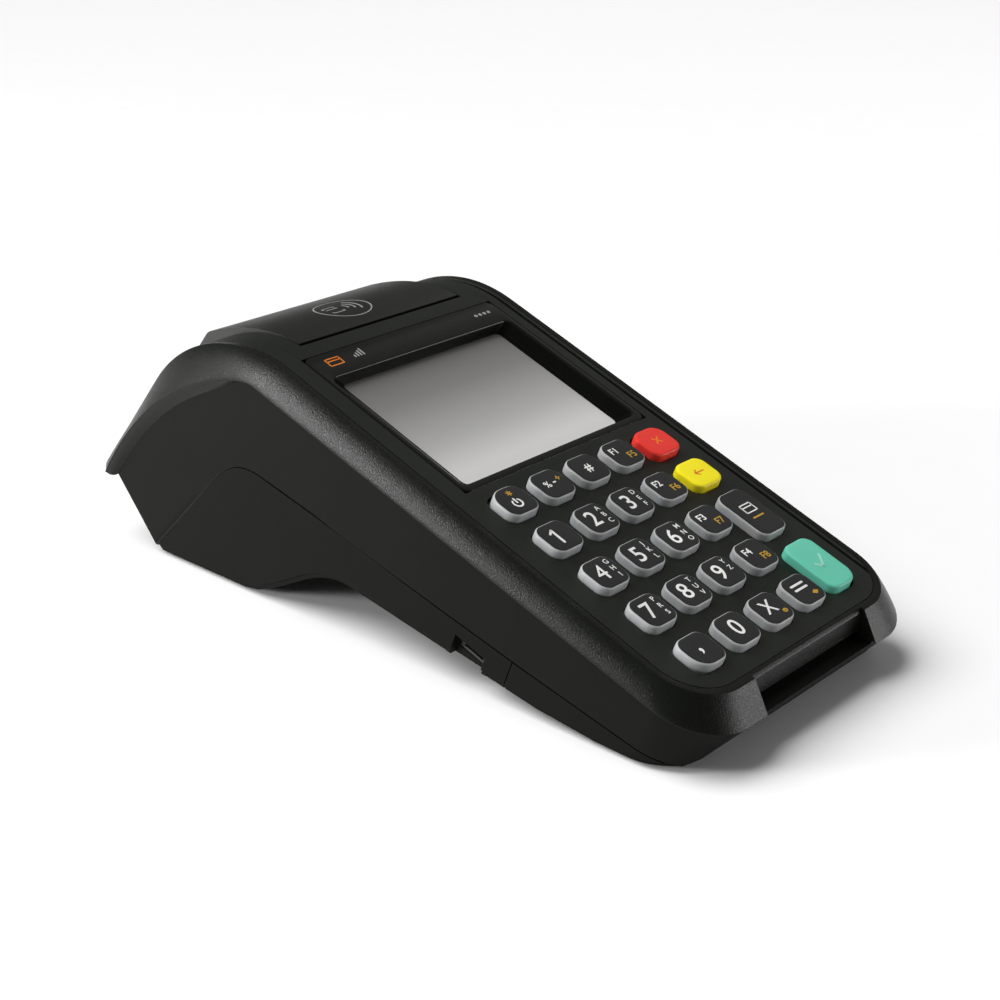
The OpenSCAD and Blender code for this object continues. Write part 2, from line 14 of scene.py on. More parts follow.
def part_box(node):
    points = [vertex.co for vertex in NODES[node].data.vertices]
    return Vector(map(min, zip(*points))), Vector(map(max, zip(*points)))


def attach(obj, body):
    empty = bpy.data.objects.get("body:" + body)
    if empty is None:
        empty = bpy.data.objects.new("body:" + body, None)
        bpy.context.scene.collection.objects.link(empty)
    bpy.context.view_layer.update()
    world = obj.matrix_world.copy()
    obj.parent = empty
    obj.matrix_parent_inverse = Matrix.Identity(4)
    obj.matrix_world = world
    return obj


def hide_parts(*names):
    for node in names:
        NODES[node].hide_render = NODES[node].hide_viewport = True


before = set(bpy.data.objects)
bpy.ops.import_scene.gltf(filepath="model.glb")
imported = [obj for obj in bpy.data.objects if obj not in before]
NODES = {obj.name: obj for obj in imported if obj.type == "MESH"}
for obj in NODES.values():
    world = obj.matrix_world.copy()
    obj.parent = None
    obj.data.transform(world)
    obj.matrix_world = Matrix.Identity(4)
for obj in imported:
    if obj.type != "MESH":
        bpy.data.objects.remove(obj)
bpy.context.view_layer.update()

# ---------- frame and driving sizes, millimetres ----------

MM = 0.001
TILT = radians(19.5)
DECK = (Matrix.Translation((0, -0.03793, 0.04955)) @ Matrix.Rotation(TILT, 4, "X")
        @ Matrix.Scale(MM, 4))

BODY_HALF = 54.6
RIM_HALF = 50.5
SIDE_HALF = 53.2
WALL = 2.2
RIM_FRONT = -83.0
SHOULDER_START = 35
SHOULDER_STOP = 65
HUMP_C = (77.9, -51.8)
HUMP_R = 51.8
HUMP_END = 18.4
VISOR_DIR = (0.316, -0.949)
VISOR_NORMAL = (0.949, 0.316)
VISOR_TIP = (142.0, -80.4)
EDGE_FRONT = (-90.35, -6.8)
EDGE_CURVE = [(84.5, -8.6), (93.2, -8.8), (127.0, -30.4), (137.0, -78.0)]
REAR_WALL = [(132.3, -75.8), (109.2, -88.9)]
FRONT_FACE = [(-89.3, -6.6), (-88.6, -11), (-86.4, -17), (-82, -22.2)]
PART_FRONT = [(-120, -16.6), (-68, -22.4), (-32, -26.4), (0, -29.4), (50, -33.4)]
PART_CURVE = [(74, -35.7), (84, -36.8), (88, -41.2), (92, -49.7)]
SLOT_X = 1.5
SLOT_HALF = 27.75
SLOT_FLOOR = -8.3
SLOT_BACK = -84.0
SLOT_TOP = SLOT_FLOOR + 1.2
MOUTH_HALF = 27.2
BLOCK_HALF = 31


# ---------- outlines ----------

def mix(a, b, t):
    """Point or number between a and b."""
    if isinstance(a, tuple):
        return tuple(mix(i, j, t) for i, j in zip(a, b))
    return a + (b - a) * t


def bezier(c, t):
    """A point on a cubic curve with the four control points c."""
    s = 1 - t
    return tuple(s**3 * a + 3 * s * s * t * b + 3 * s * t * t * d + t**3 * e
                 for a, b, d, e in zip(*c))


def along(points, t):
    """Point at the share t of a polyline's length."""
    steps = [hypot(b[0] - a[0], b[1] - a[1]) for a, b in zip(points, points[1:])]
    left = t * sum(steps)
    for (a, b), step in zip(zip(points, points[1:]), steps):
        if left <= step:
            return mix(a, b, left / step)
        left -= step
    return points[-1]


def at_y(points, y):
    """Height of a side outline at y."""
    for a, b in zip(points, points[1:]):
        if y <= b[0]:
            return mix(a[1], b[1], (y - a[0]) / (b[0] - a[0]))
    return points[-1][1]


def front_face(z):
    """How far forward the front wall stands at height z."""
    turned = [(-b, a) for a, b in FRONT_FACE]
    return at_y(turned, -z)


# ---------- meshes ----------

def add_mesh(name, verts, faces, place=DECK):
    """A mesh object from points in mm, put in its place by a matrix."""
    mesh = bpy.data.meshes.new(name)
    mesh.from_pydata([place @ Vector(v) for v in verts], [], faces)
    obj = bpy.data.objects.new(name, mesh)
    bpy.context.scene.collection.objects.link(obj)
    return obj


def tidy_mesh(obj):
    """Turns every face outwards."""
    bm = bmesh.new()
    bm.from_mesh(obj.data)
    bmesh.ops.recalc_face_normals(bm, faces=bm.faces)
    bm.to_mesh(obj.data)
    bm.free()
    return obj


def bake(obj):
    """Turns the object's modifiers into its mesh."""
    graph = bpy.context.evaluated_depsgraph_get()
    mesh = bpy.data.meshes.new_from_object(obj.evaluated_get(graph))
    obj.modifiers.clear()
    obj.data = mesh
    return obj


def modify(obj, kind, **settings):
    """Adds a modifier and applies the settings given by name."""
    modifier = obj.modifiers.new(kind.lower(), kind)
    for key, value in settings.items():
        setattr(modifier, key, value)
    return modifier


def combine(obj, other, operation):
    """Exact boolean of two closed meshes; the other one is used up."""
    modify(obj, "BOOLEAN", operation=operation, object=other, solver="EXACT")
    bake(obj)
    bpy.data.objects.remove(other)
    return obj


def smooth(obj, angle):
    """Smooth shading that keeps edges sharper than the angle."""
    obj.data.shade_smooth()
    obj.data.set_sharp_from_angle(angle=radians(angle))
    return obj


def soften(obj, bevel):
    """Rounds the edges and shades the flats as flats."""
    modify(obj, "WELD", merge_threshold=1e-5)
    modify(obj, "DECIMATE", decimate_type="DISSOLVE", angle_limit=radians(0.4))
    modify(obj, "BEVEL", width=bevel * MM, segments=3, angle_limit=radians(32),
           limit_method="ANGLE")
    modify(obj, "WEIGHTED_NORMAL", keep_sharp=False, weight=60)
    for face in obj.data.polygons:
        face.use_smooth = True


def prism(name, outline, x0, x1):
    """Closed solid: a side outline of (y, z) points drawn from x0 to x1."""
    n = len(outline)
    verts = [(x, y, z) for x in (x0, x1) for y, z in outline]
    faces = [tuple(range(n))[::-1], tuple(range(n, 2 * n))]
    faces += [(i, (i + 1) % n, n + (i + 1) % n, n + i) for i in range(n)]
    return tidy_mesh(add_mesh(name, verts, faces))


def torus_grid(rings):
    """Faces between rings that close on themselves both ways."""
    count, size = len(rings), len(rings[0])
    verts = [p for ring in rings for p in ring]
    faces = []
    for i in range(count):
        a, b = i * size, ((i + 1) % count) * size
        for j in range(size):
            k = (j + 1) % size
            faces.append((a + j, a + k, b + k, b + j))
    return verts, faces


# ---------- upper housing ----------

HUMP_STEPS = 30
VISOR_STEPS = 10
TIP_STEPS = 5
FLAT_STEPS = 14
CORNER_STEPS = 12
TIP_R = 2.3
RETURN_DEPTH = 3.2


def hump_rim():
    """The rim's side line over the hump and down to the rounded visor tip."""
    arc = [(HUMP_C[0] + HUMP_R * cos(a), HUMP_C[1] + HUMP_R * sin(a))
           for a in (radians(mix(90, HUMP_END, i / HUMP_STEPS)) for i in range(HUMP_STEPS + 1))]
    inset = TIP_R / 0.72
    stop = tuple(t - inset * d for t, d in zip(VISOR_TIP, VISOR_DIR))
    line = [mix(arc[-1], stop, (i + 1) / VISOR_STEPS) for i in range(VISOR_STEPS)]
    back = (VISOR_TIP[0] - inset, VISOR_TIP[1])
    tip = []
    for i in range(1, TIP_STEPS + 1):
        t = i / TIP_STEPS
        tip.append(mix(mix(stop, VISOR_TIP, t), mix(VISOR_TIP, back, t), t))
    return arc + line + tip


RIM_LINE = hump_rim()
STATIONS = len(RIM_LINE)


def station_shares():
    """Share of the way along the hump at each station."""
    run = [0.0]
    for a, b in zip(RIM_LINE, RIM_LINE[1:]):
        run.append(run[-1] + hypot(b[0] - a[0], b[1] - a[1]))
    return [r / run[-1] for r in run]


SHARES = station_shares()
EDGE_LINE = [bezier(EDGE_CURVE, s) for s in SHARES]


def sunk_line(depth, stop_short):
    """The rim's line sunk by depth, ending short of the visor tip."""
    radius = HUMP_R - depth
    arc = [(HUMP_C[0] + radius * cos(a), HUMP_C[1] + radius * sin(a))
           for a in (radians(mix(90, HUMP_END, i / HUMP_STEPS)) for i in range(HUMP_STEPS + 1))]
    end = tuple(t - stop_short * d - depth * n
                for t, d, n in zip(VISOR_TIP, VISOR_DIR, VISOR_NORMAL))
    rest = STATIONS - len(arc)
    return arc + [mix(arc[-1], end, (i + 1) / rest) for i in range(rest)]


def deck_level(half, front, r, depth, stop_short):
    """A ring at one depth below the deck."""
    return dict(half=half, front=front, r=r, flat=lambda y: -depth,
                hump=sunk_line(depth, stop_short), flat_end=HUMP_C[0])


def shoulder_level(s, w):
    """A ring of the shoulder: s runs outwards and w downwards from the rim to the edge."""
    z = mix(0, EDGE_FRONT[1], w)
    end = mix(RIM_LINE[0], EDGE_LINE[0], w)
    front = mix(RIM_FRONT, EDGE_FRONT[0], w)
    return dict(half=mix(RIM_HALF, BODY_HALF, s), front=front, r=mix(17, 19, s),
                flat=lambda y: mix(z, end[1], max(0, (y + 66) / (end[0] + 66))),
                hump=[mix(a, b, w) for a, b in zip(RIM_LINE, EDGE_LINE)], flat_end=end[0])


def return_line(drop, roll):
    """The edge's side line, moved inwards; the return under the hump's edge grows to the rear."""
    line = []
    for i, (point, share) in enumerate(zip(EDGE_LINE, SHARES)):
        a, b = EDGE_LINE[max(0, i - 1)], EDGE_LINE[min(STATIONS - 1, i + 1)]
        run = hypot(b[0] - a[0], b[1] - a[1])
        t = min(1, max(0, (share - 0.08) / 0.4))
        depth = drop + roll * RETURN_DEPTH * t * t * (3 - 2 * t)
        moved = (point[0] + depth * (b[1] - a[1]) / run, point[1] - depth * (b[0] - a[0]) / run)
        line.append(mix(moved, REAR_WALL[0], roll * share**8))
    return line


def wall_level(half, share, drop=0.35, inset=0.0, roll=1.0):
    """A ring of the side wall between the shoulder and the parting line."""
    top_line = return_line(drop, roll)
    part_line = [along([(50, -33.4)] + [bezier(PART_CURVE, i / 12) for i in range(13)]
                       + [(109.0, -88.6)], s) for s in SHARES]
    part_line = [mix(p, (REAR_WALL[1][0], REAR_WALL[1][1] + 0.2), s**6)
                 for p, s in zip(part_line, SHARES)]
    hump = [mix(a, b, share) for a, b in zip(top_line, part_line)]
    if inset:
        hump = [(y - inset * s, z + inset * 0.4 * s) for (y, z), s in zip(hump, SHARES)]
    end_y = hump[0][0]

    def flat(y):
        part_y = mix(y, min(y, 50), min(1, max(0, (y + 60) / 110)))
        return mix(EDGE_FRONT[1] - drop - 0.012 * (y + 66), at_y(PART_FRONT, part_y), share)

    z_front = flat(-86)
    return dict(half=half, front=-89.3 + inset, r=18 - inset, flat=flat, hump=hump,
                flat_end=end_y, clip=front_face(z_front) + inset)


def level_ring(level):
    """All the points of one level, from the rear left tip round the front to the rear right."""
    half, front, r = level["half"], level["front"], level["r"]
    corner_y = front + r
    clip = max(level.get("clip", front), front)
    side = [(half, y, z) for y, z in level["hump"]][::-1]
    start = (corner_y, level["flat"](corner_y))
    for i in range(1, FLAT_STEPS):
        t = 1 - i / FLAT_STEPS
        y = mix(start[0], level["flat_end"], t)
        z = mix(level["flat"](y), level["hump"][0][1], t**8)
        side.append((half, y, z))
    end_angle = pi / 2
    if clip > front + 0.01:
        ratio = min(1, (corner_y - clip) / r)
        end_angle = next(a * pi / 720 for a in range(361) if sin(a * pi / 720) >= ratio - 1e-3)
    for i in range(CORNER_STEPS + 1):
        a = end_angle * i / CORNER_STEPS
        y = max(corner_y - r * sin(a), clip)
        side.append((half - r + r * cos(a), y, level["flat"](y)))
    left = [(-x, y, z) for x, y, z in side]
    last = side[-1]
    front_run = [(mix(-last[0], last[0], i / 10), last[1], last[2]) for i in range(1, 10)]
    return left + front_run + side[::-1]


# Rings of the panel's pocket and the rim: half width, front, corner radius, depth under the
# deck, and how far short of the visor's tip they end.
POCKET_LEVELS = [
    (47.3, -79.4, 13.6, 3.4, 8.1),
    (47.3, -79.4, 13.6, 2.05, 8.1),
    (48.35, -80.45, 14.6, 2.05, 7.0),
    (48.35, -80.45, 14.6, 0.3, 7.0),
    (48.45, -80.55, 14.7, 0.07, 6.9),
    (48.7, -80.8, 15.0, 0.0, 6.6),
]
# Half width, drop and roll of the rings that turn the edge in under the shoulder.
RETURN_RINGS = [(54.45, 0.38, 0.3), (54.05, 0.44, 0.62), (53.6, 0.5, 0.86)]
# Shares of the wall's height at which it has a ring.
WALL_SHARES = [0.08, 0.3, 0.52, 0.75, 0.92]
SHOULDER_STEPS = 10


def shell_levels():
    """The section of the upper housing, from the panel's ledge outwards and back inside."""
    levels = [deck_level(*level) for level in POCKET_LEVELS]
    low, high = radians(SHOULDER_START), radians(SHOULDER_STOP)
    for k in range(SHOULDER_STEPS + 1):
        a = mix(low, high, k / SHOULDER_STEPS)
        s = (sin(a) - sin(low)) / (sin(high) - sin(low))
        w = (cos(low) - cos(a)) / (cos(low) - cos(high))
        levels.append(shoulder_level(s, w))
    levels.append(shoulder_level(1.0, 1.02))
    levels.append(shoulder_level(0.97, 1.035))
    for half, drop, roll in RETURN_RINGS:
        levels.append(wall_level(half, 0.0, drop, roll=roll))
    levels.append(wall_level(SIDE_HALF, 0.0, 0.6))
    levels += [wall_level(SIDE_HALF, share, 0.6) for share in WALL_SHARES]
    levels.append(wall_level(SIDE_HALF, 0.985))
    levels.append(wall_level(SIDE_HALF - 0.3, 1.0, inset=0.25))
    levels.append(wall_level(SIDE_HALF - WALL, 1.0, inset=WALL))
    levels.append(wall_level(SIDE_HALF - WALL, 0.0, 2.4, inset=WALL))
    return levels


def upper_housing():
    """The shell as a loft that closes both ways, with the card recess cut into a block."""
    rings = [level_ring(level) for level in shell_levels()]
    stations = list(zip(*rings))
    across_rear = [tuple(mix(a, b, i / 6) for a, b in zip(stations[-1], stations[0]))
                   for i in range(1, 6)]
    verts, faces = torus_grid(stations + across_rear)
    shell = tidy_mesh(add_mesh("upper_shell", verts, faces))
    block = prism("slot_block", [(-88.2, -8.0), (-88.2, -13), (-81.0, -13), (-81.0, -2.6),
                                 (-84.6, -2.6)], SLOT_X - BLOCK_HALF, SLOT_X + BLOCK_HALF)
    combine(shell, block, "UNION")
    slope = [(-81.75, 2), (-81.75, -0.25), (-81.95, -0.8), (-82.5, -1.35),
            (SLOT_BACK, SLOT_TOP), (SLOT_BACK, SLOT_FLOOR), (-96, SLOT_FLOOR), (-96, 2)]
    combine(shell, prism("slot_cut", slope, SLOT_X - SLOT_HALF, SLOT_X + SLOT_HALF), "DIFFERENCE")
    mouth = [(-85.5, SLOT_FLOOR), (-85.5, SLOT_TOP), (-80, SLOT_TOP),
             (-80, SLOT_FLOOR)]
    mouth_tool = prism("slot_mouth", mouth, SLOT_X - MOUTH_HALF, SLOT_X + MOUTH_HALF)
    combine(shell, mouth_tool, "DIFFERENCE")
    return shell


def darken_walls(shell):
    """Paints shade on the walls under the shoulder's edge, the front wall and the hump's rear
    face: they get a darker, rougher copy of the shell's black.
    """
    to_deck = DECK.inverted()
    for face in shell.data.polygons:
        x, y, z = to_deck @ face.center
        x = abs(x)
        flank = abs(x - SIDE_HALF) < 0.04 and abs(face.normal.x) > 0.97
        front = z < EDGE_FRONT[1] - 0.5 and y < 60 and x < SIDE_HALF + 0.04
        rear = x < 46 and y > 100 and z < VISOR_TIP[1] + 4
        face.material_index = int(flank or front or rear)


# ---------- display bezel ----------

BEZEL_SIZE = (83.7, 69.1)
BEZEL_Y = 45.35
OPENING_SIZE = (79.6, 55.7)
OPENING_Y = 41.4
SCREEN_SIZE = (70.0, 52.5)
SCREEN_Y = 42.0
SCREEN_Z = -3.4


def rounded_loop(w, h, r, y, z, points=8):
    """Rounded rectangle in the deck plane, as points at height z."""
    loop = []
    for quarter, (sx, sy) in enumerate([(-1, -1), (1, -1), (1, 1), (-1, 1)]):
        for i in range(points + 1):
            a = radians(180 + 90 * (quarter + i / points))
            loop.append((sx * (w / 2 - r) + r * cos(a), y + sy * (h / 2 - r) + r * sin(a), z))
    return loop


def display_bezel():
    """Frame round the display: flat rim, rounded lip and walls that slope to the glass."""
    def outer(inset, z):
        return rounded_loop(BEZEL_SIZE[0] - 2 * inset, BEZEL_SIZE[1] - 2 * inset, 3, BEZEL_Y, z)

    def slope(t, grow, z):
        return rounded_loop(mix(OPENING_SIZE[0], SCREEN_SIZE[0], t) + 2 * grow,
                            mix(OPENING_SIZE[1], SCREEN_SIZE[1], t) + 2 * grow,
                            mix(2.6, 1.7, t) + grow, mix(OPENING_Y, SCREEN_Y, t), z)

    loops = [outer(0.4, -2.0), outer(0, -1.9), outer(0, -0.25), outer(0.06, -0.08),
             outer(0.22, 0.0), slope(0, 0.32, 0.0), slope(0, 0.14, -0.05), slope(0, 0.03, -0.18),
             slope(0.06, 0, -0.4), slope(0.5, 0, -1.8), slope(0.94, 0, -3.2),
             slope(1, 0, SCREEN_Z), slope(1, 0.8, SCREEN_Z), slope(1, 0.9, -2.6)]
    verts, faces = torus_grid(loops)
    bezel = tidy_mesh(add_mesh("display_frame", verts, faces))
    finish(bezel, "housing", "bezel_gloss", ["bezel_gloss", "bezel_wall_painted_shade"], ["display_bezel"])
    # painted shade: faces below the rim, in the display bay, take the darker copy of the black
    to_deck = DECK.inverted()
    for face in bezel.data.polygons:
        face.material_index = int((to_deck @ face.center).z < -0.3)
    return smooth(bezel, 50)


# ---------- materials ----------

def node_material(name):
    """An empty node material with its shader."""
    material = bpy.data.materials.new(name)
    material.use_nodes = True
    tree = material.node_tree
    shader = next(n for n in tree.nodes if n.type == "BSDF_PRINCIPLED")
    return material, tree, shader


def object_coords(tree):
    """The object coordinates of a material, from one node that its textures share."""
    coords = tree.nodes.get("coords") or tree.nodes.new("ShaderNodeTexCoord")
    coords.name = "coords"
    return coords.outputs["Object"]


def noise(tree, scale, detail=3.0, roughness=0.6):
    """A noise texture in object coordinates."""
    texture = tree.nodes.new("ShaderNodeTexNoise")
    texture.inputs["Scale"].default_value = scale
    texture.inputs["Detail"].default_value = detail
    texture.inputs["Roughness"].default_value = roughness
    tree.links.new(object_coords(tree), texture.inputs["Vector"])
    return texture.outputs["Fac"]


def ramp(tree, factor, stops):
    """Colour ramp; stops are (place, colour) pairs."""
    node = tree.nodes.new("ShaderNodeValToRGB")
    while len(node.color_ramp.elements) < len(stops):
        node.color_ramp.elements.new(0.5)
    for element, (place, colour) in zip(node.color_ramp.elements, stops):
        element.position = place
        element.color = (*colour, 1)
    tree.links.new(factor, node.inputs["Fac"])
    return node.outputs["Color"]


def shade(colour, factor):
    """The colour made darker or lighter by a factor."""
    return tuple(min(1, c * factor) for c in colour)


def moulded(name, colour, rough=0.45, grain=2600, bump=0.12, depth=0.00004, specular=0.5,
            vary=0.12, metal=0.0, coat=0.0, subsurface=0.0):
    """A moulded or cast finish: fine grain, uneven gloss and slight variation of colour.

    grain is the number of grains per metre and depth the height of the relief in metres.
    """
    material, tree, shader = node_material(name)
    fine = noise(tree, grain)
    broad = noise(tree, 45, 2)
    tint = ramp(tree, broad, [(0.3, shade(colour, 1 - vary)), (0.7, shade(colour, 1 + vary))])
    tree.links.new(tint, shader.inputs["Base Color"])
    gloss = ramp(tree, fine, [(0.3, (max(0, rough - 0.06),) * 3),
                              (0.7, (min(1, rough + 0.06),) * 3)])
    tree.links.new(gloss, shader.inputs["Roughness"])
    relief = tree.nodes.new("ShaderNodeBump")
    relief.inputs["Strength"].default_value = bump
    relief.inputs["Distance"].default_value = depth
    tree.links.new(fine, relief.inputs["Height"])
    tree.links.new(relief.outputs["Normal"], shader.inputs["Normal"])
    shader.inputs["Metallic"].default_value = metal
    shader.inputs["Specular IOR Level"].default_value = specular
    shader.inputs["Coat Weight"].default_value = coat
    shader.inputs["Coat Roughness"].default_value = 0.08
    shader.inputs["Subsurface Weight"].default_value = subsurface
    shader.inputs["Subsurface Scale"].default_value = 0.002
    return material


def screen_material():
    """Unlit display under clear glass, with a painted reflection: grey that lightens towards the
    keypad.
    """
    material, tree, shader = node_material("display_glass")
    split = tree.nodes.new("ShaderNodeSeparateXYZ")
    tree.links.new(object_coords(tree), split.inputs["Vector"])
    low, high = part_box("display_window")
    reach = tree.nodes.new("ShaderNodeMapRange")
    reach.inputs["From Min"].default_value = low.y
    reach.inputs["From Max"].default_value = high.y
    tree.links.new(split.outputs["Y"], reach.inputs["Value"])
    # painted reflection: the base colour runs from light grey near the keypad to dark grey at the
    # far edge
    painted_reflection = ramp(tree, reach.outputs["Result"],
                [(0.02, (0.76, 0.75, 0.74)), (0.35, (0.42, 0.415, 0.41)),
                 (0.7, (0.21, 0.205, 0.2)), (0.98, (0.12, 0.117, 0.113))])
    tree.links.new(painted_reflection, shader.inputs["Base Color"])
    smudge = ramp(tree, noise(tree, 60, 2), [(0.3, (0.16,) * 3), (0.7, (0.22,) * 3)])
    tree.links.new(smudge, shader.inputs["Roughness"])
    shader.inputs["Specular IOR Level"].default_value = 0.3
    return material


BLACK = (0.0052, 0.0060, 0.0044)
LOOKS = {
    "shell_black": dict(colour=BLACK, rough=0.3, grain=2200, bump=0.9, depth=0.00011,
                        specular=0.21),
    # painted shade: a darker, less glossy copy of the shell's black for the walls that face away
    # from the light
    "shell_wall_painted_shade": dict(colour=shade(BLACK, 0.75), rough=0.42, grain=2300, bump=0.4, depth=0.00005,
                       specular=0.09),
    # painted shade: the same darker, less glossy copy of the shell's black for the lower housing's
    # walls
    "shell_lower": dict(colour=shade(BLACK, 0.7), rough=0.42, grain=2300, bump=0.4, depth=0.00005,
                        specular=0.08),
    "cover_black": dict(colour=shade(BLACK, 1.9), rough=0.38, grain=2600, bump=0.2, depth=0.00003,
                        specular=0.6),
    "panel_black": dict(colour=shade(BLACK, 2.1), rough=0.5, grain=2600, bump=0.2, depth=0.00003,
                        specular=0.45),
    "bezel_gloss": dict(colour=BLACK, rough=0.24, grain=2600, bump=0.02, depth=0.00001,
                        specular=0.25),
    # painted shade: darker, less glossy copy of the bezel's black for the walls that drop into the
    # display bay
    "bezel_wall_painted_shade": dict(colour=shade(BLACK, 0.7), rough=0.3, grain=2600, bump=0.02, depth=0.00001,
                       specular=0.06),
    "key_dark": dict(colour=(0.021, 0.022, 0.021), rough=0.5, grain=3000, bump=0.15,
                     depth=0.00002, specular=0.4),
    "key_side": dict(colour=(0.38, 0.39, 0.395), rough=0.42, grain=1800, bump=0.05, depth=0.00002,
                     specular=0.5, vary=0.05, subsurface=0.15),
    "key_red": dict(colour=(0.76, 0.04, 0.03), rough=0.4, grain=1800, bump=0.05, depth=0.00002,
                    specular=0.4, vary=0.04, subsurface=0.1),
    "key_yellow": dict(colour=(0.93, 0.80, 0.014), rough=0.4, grain=1800, bump=0.05,
                       depth=0.00002, specular=0.4, vary=0.04, subsurface=0.1),
    "key_green": dict(colour=(0.135, 0.56, 0.41), rough=0.4, grain=1800, bump=0.05, depth=0.00002,
                      specular=0.4, vary=0.04, subsurface=0.1),
    "print_white": dict(colour=(0.82, 0.82, 0.80), rough=0.5, grain=2600, bump=0.03,
                        depth=0.00001),
    "print_gold": dict(colour=(0.50, 0.29, 0.035), rough=0.5, grain=2600, bump=0.03,
                       depth=0.00001),
    "print_grey": dict(colour=(0.33, 0.33, 0.32), rough=0.5, grain=2600, bump=0.03,
                       depth=0.00001),
    "print_orange": dict(colour=(0.75, 0.20, 0.02), rough=0.5, grain=2600, bump=0.03,
                         depth=0.00001),
    "print_mint": dict(colour=(0.36, 0.72, 0.58), rough=0.5, grain=2600, bump=0.03,
                       depth=0.00001),
    "foot_rubber": dict(colour=(0.012, 0.012, 0.012), rough=0.75, grain=1800, bump=0.4,
                        depth=0.00006),
    "silicone": dict(colour=(0.075, 0.08, 0.085), rough=0.55, grain=1400, bump=0.2),
    "inner_plastic": dict(colour=(0.02, 0.021, 0.02), rough=0.5, grain=1800, bump=0.3),
    "lcd_metal": dict(colour=(0.62, 0.62, 0.6), rough=0.32, grain=900, bump=0.1, metal=1.0),
    "board_green": dict(colour=(0.02, 0.12, 0.045), rough=0.38, grain=700, bump=0.1, coat=0.4),
    "contact_gold": dict(colour=(0.75, 0.5, 0.16), rough=0.25, grain=900, bump=0.05, metal=1.0),
    "steel": dict(colour=(0.55, 0.56, 0.57), rough=0.28, grain=1200, bump=0.1, metal=1.0),
    "heat_aluminium": dict(colour=(0.68, 0.69, 0.7), rough=0.36, grain=800, bump=0.12, metal=1.0),
    "gear_plastic": dict(colour=(0.72, 0.70, 0.62), rough=0.4, grain=1500, bump=0.1),
    "platen_rubber": dict(colour=(0.02, 0.02, 0.021), rough=0.65, grain=1800, bump=0.3),
    "thermal_paper": dict(colour=(0.85, 0.85, 0.83), rough=0.7, grain=1500, bump=0.1, vary=0.02),
    "battery_blue": dict(colour=(0.03, 0.1, 0.2), rough=0.4, grain=1500, bump=0.1),
    "antenna_copper": dict(colour=(0.70, 0.32, 0.16), rough=0.35, grain=900, bump=0.1, metal=1.0),
}
MATERIALS = {name: moulded(name, **look) for name, look in LOOKS.items()}
MATERIALS["display_glass"] = screen_material()


def finish(obj, body, slot, materials=None, stands_for=()):
    """Gives a piece its materials (the slot's material when no list is given) and the body it
    rides on.
    """
    obj.data.materials.clear()
    for name in materials or [slot]:
        obj.data.materials.append(MATERIALS[name])
    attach(obj, body)
    if stands_for:
        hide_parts(*stands_for)
    return obj


# ---------- keys ----------

KEY_R = 3.6
COLUMNS = [-33.6 + 16.44 * i for i in range(4)]
ROW = 17.2
RIGHT_X = 31.6
KEY_W = 12.5
KEY_H = 11.8
RIGHT_W = 13.2
GRID_KEYS = [["key_power", "key_percent", "key_plu", "key_f1"],
             ["key_1", "key_2", "key_3", "key_f2"],
             ["key_4", "key_5", "key_6", "key_f3"],
             ["key_7", "key_8", "key_9", "key_f4"],
             ["key_comma", "key_0", "key_x", "key_total"]]
# Y, height and slot of the keys in the right column.
RIGHT_KEYS = {"key_cancel": (-0.9, 12.2, "key_red"), "key_clear": (-17.8, KEY_H, "key_yellow"),
              "key_tall": (-38.5, 20.1, "key_dark"), "key_enter": (-64.1, 20.5, "key_green")}
# Corner radii of the keys that differ: bottom left, bottom right, top right, top left.
CORNERS = {"key_power": (3.6, 3.6, 4.2, 5.4), "key_comma": (5.8, 3.6, 3.6, 3.6),
           "key_cancel": (3.6, 3.6, 4.6, 4.2), "key_enter": (3.6, 5.0, 3.6, 3.6)}
CORNER_POINTS = 7
# Inset and height of each ring of a key, from the flange up to the crown; the dark skin of a
# printed key begins at ring PRINT_RING.
KEY_RINGS = [(-0.8, -2.9), (-0.8, -2.1), (0.0, -2.1), (0.02, -1.0), (0.1, 1.7), (0.15, 2.08),
             (0.25, 2.28), (0.4, 2.4), (0.5, 2.44), (0.56, 2.5), (1.1, 2.53), (2.4, 2.57),
             (3.4, 2.58)]
PRINT_RING = 8


def key_outline(w, h, radii, inset):
    """Rounded key outline; radii go bottom left, bottom right, top right, top left."""
    x, y = w / 2 - inset, h / 2 - inset
    signs = [(-1, -1), (1, -1), (1, 1), (-1, 1)]
    points = []
    for quarter, (r0, (sx, sy)) in enumerate(zip(radii, signs)):
        r = max(0.25, r0 - inset)
        for i in range(CORNER_POINTS + 1):
            a = radians(180 + 90 * (quarter + i / CORNER_POINTS))
            points.append((sx * (x - r) + r * cos(a), sy * (y - r) + r * sin(a)))
    return points


def key_cap(name, x, y, w, h, radii, slot):
    """One key with a domed cap, a skirt and a flange, centred at (x, y) on the deck."""
    rings = [key_outline(w, h, radii, inset) for inset, _ in KEY_RINGS]
    n = len(rings[0])
    verts = [(x + px, y + py, z) for ring, (_, z) in zip(rings, KEY_RINGS) for px, py in ring]
    faces = [tuple(range(n))[::-1]]
    for k in range(len(rings) - 1):
        faces += [(k * n + i, k * n + (i + 1) % n, (k + 1) * n + (i + 1) % n, (k + 1) * n + i)
                  for i in range(n)]
    faces.append(tuple(range(len(verts) - n, len(verts))))
    cap = tidy_mesh(add_mesh(name + "_cap", verts, faces))
    printed = slot == "key_dark"
    finish(cap, name, slot, ["key_side", "key_dark"] if printed else None, [name])
    if printed:
        for i, face in enumerate(cap.data.polygons):
            face.material_index = int(i > PRINT_RING * n)
    return smooth(cap, 50)


# Height of a key's crown, thickness of print, and sizes of characters.
CROWN = 2.58
PRINT_T = 0.04
DIGIT = 8.2
LETTER = 2.5


